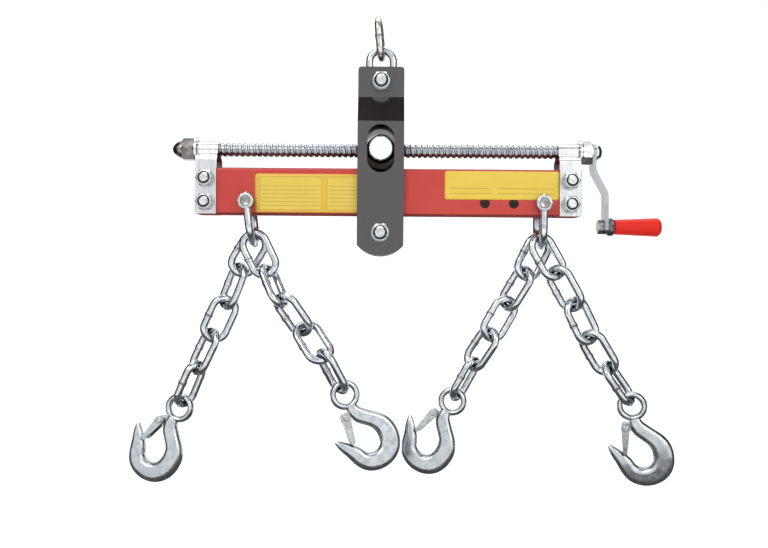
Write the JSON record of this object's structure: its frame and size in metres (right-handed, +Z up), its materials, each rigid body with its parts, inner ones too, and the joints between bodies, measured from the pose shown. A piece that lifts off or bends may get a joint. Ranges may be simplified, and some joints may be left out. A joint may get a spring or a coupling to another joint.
{
  "type": "engine load leveler",
  "caption": "Load leveler for an engine hoist: a crank and lead screw move a box beam through a hanging slider to shift the balance of chain slings with latched hooks.",
  "frame": {"origin": "bearing point inside the top of the lifting link, where the hoist's hook carries it", "axes": "+X along the beam towards the crank, +Y away from the viewer of the picture, +Z up"},
  "size_m": [0.5711, 0.0825, 0.4924],
  "materials": {
    "red_paint": "gloss red powder coat",
    "black_paint": "satin black paint",
    "bright_zinc": "bright zinc plate",
    "chain_zinc": "zinc plated chain wire",
    "hook_zinc": "zinc plated forging",
    "latch_steel": "zinc plated sheet",
    "screw_steel": "plated steel",
    "grip_plastic": "moulded red plastic"
  },
  "bodies": {
    "lifting": {"lifting_link": "chain_zinc"},
    "upper": {"upper_link": "chain_zinc"},
    "slider": {"front_plate": "black_paint", "rear_plate": "black_paint", "slider_bolts": "bright_zinc", "slider_nuts": "bright_zinc", "lower_spacer": "bright_zinc"},
    "trunnion": {"trunnion_nut": "screw_steel"},
    "beam": {"beam": "red_paint", "left_bracket": "bright_zinc", "right_bracket": "bright_zinc", "screw_bushes": "screw_steel", "bracket_bolts": "bright_zinc", "bracket_nuts": "bright_zinc"},
    "screw": {"lead_screw": "screw_steel", "screw_washers": "bright_zinc", "cap_nut": "bright_zinc", "crank_nut": "bright_zinc", "crank_arm": "bright_zinc", "crank_dome_nut": "bright_zinc", "grip_bolt": "bright_zinc", "grip_nut": "bright_zinc"},
    "grip": {"crank_grip": "grip_plastic"},
    "left_shackle": {"left_shackle": "bright_zinc", "left_shackle_pin": "bright_zinc"},
    "right_shackle": {"right_shackle": "bright_zinc", "right_shackle_pin": "bright_zinc"},
    "left_outer_link_1": {"left_outer_link_1": "chain_zinc"},
    "left_outer_link_2": {"left_outer_link_2": "chain_zinc"},
    "left_outer_link_3": {"left_outer_link_3": "chain_zinc"},
    "left_outer_link_4": {"left_outer_link_4": "chain_zinc"},
    "left_outer_link_5": {"left_outer_link_5": "chain_zinc"},
    "left_outer_hook": {"left_outer_hook": "hook_zinc"},
    "left_outer_latch": {"left_outer_latch": "latch_steel", "left_outer_latch_pivot": "latch_steel"},
    "left_inner_link_1": {"left_inner_link_1": "chain_zinc"},
    "left_inner_link_2": {"left_inner_link_2": "chain_zinc"},
    "left_inner_link_3": {"left_inner_link_3": "chain_zinc"},
    "left_inner_link_4": {"left_inner_link_4": "chain_zinc"},
    "left_inner_link_5": {"left_inner_link_5": "chain_zinc"},
    "left_inner_hook": {"left_inner_hook": "hook_zinc"},
    "left_inner_latch": {"left_inner_latch": "latch_steel", "left_inner_latch_pivot": "latch_steel"},
    "right_inner_link_1": {"right_inner_link_1": "chain_zinc"},
    "right_inner_link_2": {"right_inner_link_2": "chain_zinc"},
    "right_inner_link_3": {"right_inner_link_3": "chain_zinc"},
    "right_inner_link_4": {"right_inner_link_4": "chain_zinc"},
    "right_inner_link_5": {"right_inner_link_5": "chain_zinc"},
    "right_inner_hook": {"right_inner_hook": "hook_zinc"},
    "right_inner_latch": {"right_inner_latch": "latch_steel", "right_inner_latch_pivot": "latch_steel"},
    "right_outer_link_1": {"right_outer_link_1": "chain_zinc"},
    "right_outer_link_2": {"right_outer_link_2": "chain_zinc"},
    "right_outer_link_3": {"right_outer_link_3": "chain_zinc"},
    "right_outer_link_4": {"right_outer_link_4": "chain_zinc"},
    "right_outer_link_5": {"right_outer_link_5": "chain_zinc"},
    "right_outer_hook": {"right_outer_hook": "hook_zinc"},
    "right_outer_latch": {"right_outer_latch": "latch_steel", "right_outer_latch_pivot": "latch_steel"}
  },
  "joints": [
    {"name": "screw_turn", "type": "hinge", "parent": "beam", "child": "screw", "pos_m": [0.01113, 0, -0.13336], "axis": [1, 0, 0], "range_deg": [-7800, 6000]},
    {"name": "beam_slide", "type": "slide", "parent": "trunnion", "child": "beam", "axis": [1, 0, 0], "range_m": [-0.13, 0.1]},
    {"name": "beam_tilt", "type": "hinge", "parent": "slider", "child": "trunnion", "pos_m": [0.00313, 0, -0.13336], "axis": [0, 1, 0], "range_deg": [-20, 20]},
    {"name": "slider_swing", "type": "hinge", "parent": "upper", "child": "slider", "pos_m": [0.00313, 0, -0.06336], "axis": [0, -1, 0], "range_deg": [-30, 30]},
    {"name": "upper_link_swing", "type": "hinge", "parent": "lifting", "child": "upper", "pos_m": [0.00313, 0, -0.03581], "axis": [0.0695, 0.9976, 0.0061], "range_deg": [-25, 25]},
    {"name": "grip_turn", "type": "hinge", "parent": "screw", "child": "grip", "pos_m": [0.24793, 0, -0.21136], "axis": [1, 0, 0], "continuous": true},
    {"name": "left_shackle_swing", "type": "hinge", "parent": "beam", "child": "left_shackle", "pos_m": [-0.13487, 0, -0.18866], "axis": [0, 1, 0], "range_deg": [-30, 30]},
    {"name": "right_shackle_swing", "type": "hinge", "parent": "beam", "child": "right_shackle", "pos_m": [0.17113, 0, -0.18866], "axis": [0, 1, 0], "range_deg": [-30, 30]},
    {"name": "left_outer_link_1_swing", "type": "hinge", "parent": "left_shackle", "child": "left_outer_link_1", "pos_m": [-0.12964, 0.01164, -0.2284], "axis": [0, -1, 0], "range_deg": [-30, 8]},
    {"name": "left_outer_link_2_swing", "type": "hinge", "parent": "left_outer_link_1", "child": "left_outer_link_2", "pos_m": [-0.14789, 0.00808, -0.26246], "axis": [0.8188, 0.3256, -0.4728], "range_deg": [-35, 40]},
    {"name": "left_outer_link_3_swing", "type": "hinge", "parent": "left_outer_link_2", "child": "left_outer_link_3", "pos_m": [-0.16051, 0.00894, -0.29822], "axis": [0.6001, -0.766, -0.2304], "range_deg": [-40, 40]},
    {"name": "left_outer_link_4_swing", "type": "hinge", "parent": "left_outer_link_3", "child": "left_outer_link_4", "pos_m": [-0.176, 0.00921, -0.33271], "axis": [-0.8346, -0.4067, 0.3716], "range_deg": [-40, 40]},
    {"name": "left_outer_link_5_swing", "type": "hinge", "parent": "left_outer_link_4", "child": "left_outer_link_5", "pos_m": [-0.19207, 0.00912, -0.36692], "axis": [-0.6064, 0.7431, 0.2828], "range_deg": [-40, 40]},
    {"name": "left_outer_hook_swing", "type": "hinge", "parent": "left_outer_link_5", "child": "left_outer_hook", "pos_m": [-0.20597, 0.00897, -0.40208], "axis": [0.4353, 0.8829, -0.1759], "range_deg": [-40, 40]},
    {"name": "left_outer_latch_swing", "type": "hinge", "parent": "left_outer_hook", "child": "left_outer_latch", "pos_m": [-0.22767, 0.01054, -0.41904], "axis": [-0.1533, -0.9848, 0.0815], "range_deg": [0, 45], "stiffness_Nm_per_rad": 0.02},
    {"name": "left_inner_link_1_swing", "type": "hinge", "parent": "left_shackle", "child": "left_inner_link_1", "pos_m": [-0.12964, -0.01164, -0.2284], "axis": [0, -1, 0], "range_deg": [-8, 30]},
    {"name": "left_inner_link_2_swing", "type": "hinge", "parent": "left_inner_link_1", "child": "left_inner_link_2", "pos_m": [-0.11251, -0.00707, -0.26352], "axis": [0.8988, 0, 0.4384], "range_deg": [-40, 40]},
    {"name": "left_inner_link_3_swing", "type": "hinge", "parent": "left_inner_link_2", "child": "left_inner_link_3", "pos_m": [-0.09751, -0.02314, -0.29427], "axis": [0.4825, 0.8506, -0.209], "range_deg": [-40, 6]},
    {"name": "left_inner_link_4_swing", "type": "hinge", "parent": "left_inner_link_3", "child": "left_inner_link_4", "pos_m": [-0.0734, -0.01105, -0.32387], "axis": [-0.7082, 0.6293, -0.3199], "range_deg": [-12, 40]},
    {"name": "left_inner_link_5_swing", "type": "hinge", "parent": "left_inner_link_4", "child": "left_inner_link_5", "pos_m": [-0.05208, -0.03049, -0.34996], "axis": [-0.8255, -0.4526, -0.3371], "range_deg": [-40, 40]},
    {"name": "left_inner_hook_swing", "type": "hinge", "parent": "left_inner_link_5", "child": "left_inner_hook", "pos_m": [-0.03421, -0.02209, -0.38236], "axis": [0.5255, -0.8479, 0.0699], "range_deg": [-40, 40]},
    {"name": "left_inner_latch_swing", "type": "hinge", "parent": "left_inner_hook", "child": "left_inner_latch", "pos_m": [-0.0307, -0.02641, -0.40957], "axis": [0.2095, -0.9703, 0.121], "range_deg": [0, 45], "stiffness_Nm_per_rad": 0.02},
    {"name": "right_inner_link_1_swing", "type": "hinge", "parent": "right_shackle", "child": "right_inner_link_1", "pos_m": [0.17113, 0.01164, -0.22874], "axis": [0, -1, 0], "range_deg": [-30, 15]},
    {"name": "right_inner_link_2_swing", "type": "hinge", "parent": "right_inner_link_1", "child": "right_inner_link_2", "pos_m": [0.15521, 0.00756, -0.26424], "axis": [0.8595, 0.2924, -0.4192], "range_deg": [-40, 40]},
    {"name": "right_inner_link_3_swing", "type": "hinge", "parent": "right_inner_link_2", "child": "right_inner_link_3", "pos_m": [0.13774, 0.01776, -0.29618], "axis": [0.4099, -0.7799, -0.473], "range_deg": [-8, 40]},
    {"name": "right_inner_link_4_swing", "type": "hinge", "parent": "right_inner_link_3", "child": "right_inner_link_4", "pos_m": [0.11943, 0.01454, -0.32944], "axis": [-0.7964, -0.3744, 0.4749], "range_deg": [-40, 40]},
    {"name": "right_inner_link_5_swing", "type": "hinge", "parent": "right_inner_link_4", "child": "right_inner_link_5", "pos_m": [0.10127, 0.02516, -0.36091], "axis": [-0.4719, 0.7164, 0.5139], "range_deg": [-40, 15]},
    {"name": "right_inner_hook_swing", "type": "hinge", "parent": "right_inner_link_5", "child": "right_inner_hook", "pos_m": [0.08449, 0.02275, -0.39508], "axis": [0.4227, 0.8655, -0.2688], "range_deg": [-40, 40]},
    {"name": "right_inner_latch_swing", "type": "hinge", "parent": "right_inner_hook", "child": "right_inner_latch", "pos_m": [0.06276, 0.02572, -0.4118], "axis": [-0.2116, -0.9703, 0.1173], "range_deg": [0, 45], "stiffness_Nm_per_rad": 0.02},
    {"name": "right_outer_link_1_swing", "type": "hinge", "parent": "right_shackle", "child": "right_outer_link_1", "pos_m": [0.17113, -0.01164, -0.22874], "axis": [0, -1, 0], "range_deg": [-15, 30]},
    {"name": "right_outer_link_2_swing", "type": "hinge", "parent": "right_outer_link_1", "child": "right_outer_link_2", "pos_m": [0.18909, -0.00788, -0.26319], "axis": [0.7912, 0.4067, 0.4568], "range_deg": [-40, 40]},
    {"name": "right_outer_link_3_swing", "type": "hinge", "parent": "right_outer_link_2", "child": "right_outer_link_3", "pos_m": [0.20732, -0.00798, -0.2963], "axis": [0.6076, -0.7193, 0.3368], "range_deg": [-40, 40]},
    {"name": "right_outer_link_4_swing", "type": "hinge", "parent": "right_outer_link_3", "child": "right_outer_link_4", "pos_m": [0.22376, -0.00769, -0.33035], "axis": [-0.7936, -0.4695, -0.3871], "range_deg": [-40, 40]},
    {"name": "right_outer_link_5_swing", "type": "hinge", "parent": "right_outer_link_4", "child": "right_outer_link_5", "pos_m": [0.24365, -0.0072, -0.36253], "axis": [-0.6166, 0.6947, -0.3705], "range_deg": [-40, 40]},
    {"name": "right_outer_hook_swing", "type": "hinge", "parent": "right_outer_link_5", "child": "right_outer_hook", "pos_m": [0.26565, -0.00742, -0.39328], "axis": [0.4096, 0.866, 0.2868], "range_deg": [-40, 40]},
    {"name": "right_outer_latch_swing", "type": "hinge", "parent": "right_outer_hook", "child": "right_outer_latch", "pos_m": [0.26084, -0.00568, -0.42053], "axis": [-0.2674, -0.9613, -0.0667], "range_deg": [0, 45], "stiffness_Nm_per_rad": 0.02}
  ],
  "couplings": [
    {"joint": "screw_turn", "follows": "beam_slide", "rad_per_m": 1047.2}
  ]
}
